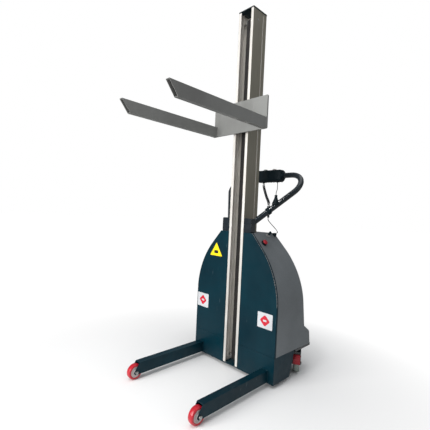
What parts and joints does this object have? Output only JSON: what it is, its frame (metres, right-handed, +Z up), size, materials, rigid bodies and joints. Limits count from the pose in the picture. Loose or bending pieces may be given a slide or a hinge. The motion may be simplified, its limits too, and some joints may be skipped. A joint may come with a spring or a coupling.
{
  "type": "walkie stacker",
  "caption": "Pedestrian lift truck with a single aluminium mast, a belt-driven fork carriage, front legs on rollers, braked swivel castors and a bow handle.",
  "frame": {"origin": "on the floor, in the middle of the truck's box", "axes": "+Z up, -Y towards the fork tips, +X to the left of an operator who stands behind the handle"},
  "size_m": [0.6316, 1.0614, 2.064],
  "materials": {
    "aluminium_profile": "anodised extrusion, satin",
    "machined_aluminium": "machined",
    "bright_steel": "zinc plated",
    "blue_paint": "semi-gloss powder coat, dark petrol blue",
    "black_paint": "gloss powder coat",
    "grey_paint": "satin paint, scuffed at the edges",
    "grey_cover": "fine moulded grain",
    "black_plastic": "moulded grain",
    "red_plastic": "moulded",
    "light_plastic": "moulded",
    "red_tread": "cast polyurethane",
    "grey_tread": "non-marking tread",
    "belt_rubber": "steel-cord belt, matt",
    "cord_rubber": "cable sheath, satin",
    "battery_case": "moulded case"
  },
  "bodies": {
    "chassis": {"mast_profile": "aluminium_profile", "mast_cap": "black_plastic", "lift_belt": "belt_rubber", "idler_axle": "bright_steel", "gear_motor": "black_paint", "chassis_frame": "blue_paint", "deck_plate": "black_paint", "rear_cover": "grey_cover", "stop_button_collar": "black_plastic", "key_switch": "bright_steel", "cable_gland": "black_plastic", "handle_bow": "black_paint", "control_head": "black_plastic", "cable_clip": "black_plastic", "horn": "black_plastic", "curly_cord": "cord_rubber", "horn_lead": "cord_rubber", "control_lead": "cord_rubber", "battery": "battery_case", "lift_controller": "black_plastic", "leg_left": "blue_paint", "front_panel_left": "blue_paint", "front_wheel_bolt_left": "bright_steel", "handle_clamp_left": "black_paint", "castor_plate_left": "bright_steel", "leg_right": "blue_paint", "front_panel_right": "blue_paint", "front_wheel_bolt_right": "bright_steel", "handle_clamp_right": "black_paint", "castor_plate_right": "bright_steel"},
    "carriage": {"carriage_plate": "grey_paint", "carriage_slider": "machined_aluminium", "belt_clamp": "bright_steel", "guide_axle_lower": "bright_steel", "guide_axle_upper": "bright_steel", "fork_left": "grey_paint", "fork_right": "grey_paint"},
    "drive_pulley": {"drive_pulley": "machined_aluminium", "drive_shaft": "bright_steel"},
    "idler_pulley": {"idler_pulley": "machined_aluminium"},
    "guide_roller_lower_left": {"guide_roller_lower_left": "bright_steel"},
    "guide_roller_lower_right": {"guide_roller_lower_right": "bright_steel"},
    "guide_roller_upper_left": {"guide_roller_upper_left": "bright_steel"},
    "guide_roller_upper_right": {"guide_roller_upper_right": "bright_steel"},
    "front_wheel_left": {"front_wheel_tread_left": "red_tread", "front_wheel_hub_left": "light_plastic"},
    "front_wheel_right": {"front_wheel_tread_right": "red_tread", "front_wheel_hub_right": "light_plastic"},
    "castor_left": {"castor_fork_left": "black_paint", "castor_axle_left": "bright_steel"},
    "castor_wheel_left": {"castor_wheel_left": "grey_tread"},
    "castor_pedal_left": {"castor_pedal_left": "red_plastic"},
    "castor_right": {"castor_fork_right": "black_paint", "castor_axle_right": "bright_steel"},
    "castor_wheel_right": {"castor_wheel_right": "grey_tread"},
    "castor_pedal_right": {"castor_pedal_right": "red_plastic"},
    "up_button": {"up_button": "light_plastic"},
    "down_button": {"down_button": "grey_tread"},
    "stop_button": {"stop_button": "red_plastic"},
    "key": {"key": "black_plastic"}
  },
  "joints": [
    {"name": "lift", "type": "slide", "parent": "chassis", "child": "carriage", "axis": [0, 0, 1], "range_m": [-1.31, 0.44]},
    {"name": "drive_pulley_spin", "type": "hinge", "parent": "chassis", "child": "drive_pulley", "pos_m": [0, 0.17234, 0.062], "axis": [1, 0, 0], "continuous": true},
    {"name": "idler_pulley_spin", "type": "hinge", "parent": "chassis", "child": "idler_pulley", "pos_m": [0, 0.17234, 2.004], "axis": [1, 0, 0], "continuous": true},
    {"name": "guide_roller_lower_left_spin", "type": "hinge", "parent": "carriage", "child": "guide_roller_lower_left", "pos_m": [0.04225, 0.14564, 1.42], "axis": [1, 0, 0], "continuous": true},
    {"name": "guide_roller_lower_right_spin", "type": "hinge", "parent": "carriage", "child": "guide_roller_lower_right", "pos_m": [-0.04225, 0.14564, 1.42], "axis": [1, 0, 0], "continuous": true},
    {"name": "guide_roller_upper_left_spin", "type": "hinge", "parent": "carriage", "child": "guide_roller_upper_left", "pos_m": [0.04225, 0.14564, 1.51], "axis": [1, 0, 0], "continuous": true},
    {"name": "guide_roller_upper_right_spin", "type": "hinge", "parent": "carriage", "child": "guide_roller_upper_right", "pos_m": [-0.04225, 0.14564, 1.51], "axis": [1, 0, 0], "continuous": true},
    {"name": "front_wheel_left_spin", "type": "hinge", "parent": "chassis", "child": "front_wheel_left", "pos_m": [0.245, -0.34766, 0.04], "axis": [1, 0, 0], "continuous": true},
    {"name": "front_wheel_right_spin", "type": "hinge", "parent": "chassis", "child": "front_wheel_right", "pos_m": [-0.245, -0.34766, 0.04], "axis": [1, 0, 0], "continuous": true},
    {"name": "castor_swivel_left", "type": "hinge", "parent": "chassis", "child": "castor_left", "pos_m": [0.25, 0.43734, 0.137], "axis": [0, 0, 1], "continuous": true},
    {"name": "castor_wheel_left_spin", "type": "hinge", "parent": "castor_left", "child": "castor_wheel_left", "pos_m": [0.26723, 0.40688, 0.05], "axis": [0.8704, 0.4924, 0], "continuous": true},
    {"name": "castor_brake_left", "type": "hinge", "parent": "castor_left", "child": "castor_pedal_left", "pos_m": [0.28595, 0.3738, 0.103], "axis": [0.8704, 0.4924, 0], "range_deg": [0, 8]},
    {"name": "castor_swivel_right", "type": "hinge", "parent": "chassis", "child": "castor_right", "pos_m": [-0.25, 0.43734, 0.137], "axis": [0, 0, 1], "continuous": true},
    {"name": "castor_wheel_right_spin", "type": "hinge", "parent": "castor_right", "child": "castor_wheel_right", "pos_m": [-0.26723, 0.40688, 0.05], "axis": [0.8704, -0.4924, 0], "continuous": true},
    {"name": "castor_brake_right", "type": "hinge", "parent": "castor_right", "child": "castor_pedal_right", "pos_m": [-0.28595, 0.3738, 0.103], "axis": [0.8704, -0.4924, 0], "range_deg": [0, 8]},
    {"name": "up_button_press", "type": "slide", "parent": "chassis", "child": "up_button", "axis": [0, 0, -1], "range_m": [0, 0.004], "stiffness_N_per_m": 600},
    {"name": "down_button_press", "type": "slide", "parent": "chassis", "child": "down_button", "axis": [0, 0, -1], "range_m": [0, 0.004], "stiffness_N_per_m": 600},
    {"name": "stop_button_press", "type": "slide", "parent": "chassis", "child": "stop_button", "axis": [-0.7547, 0, -0.6561], "range_m": [0, 0.0035]},
    {"name": "key_turn", "type": "hinge", "parent": "chassis", "child": "key", "pos_m": [0.128, 0.25834, 0.77685], "axis": [0.7547, 0, 0.6561], "range_deg": [0, 90]}
  ],
  "couplings": [
    {"joint": "drive_pulley_spin", "follows": "lift", "rad_per_m": -52.632},
    {"joint": "idler_pulley_spin", "follows": "lift", "rad_per_m": -52.632},
    {"joint": "guide_roller_lower_left_spin", "follows": "lift", "rad_per_m": -90.909},
    {"joint": "guide_roller_lower_right_spin", "follows": "lift", "rad_per_m": -90.909},
    {"joint": "guide_roller_upper_left_spin", "follows": "lift", "rad_per_m": 90.909},
    {"joint": "guide_roller_upper_right_spin", "follows": "lift", "rad_per_m": 90.909}
  ]
}
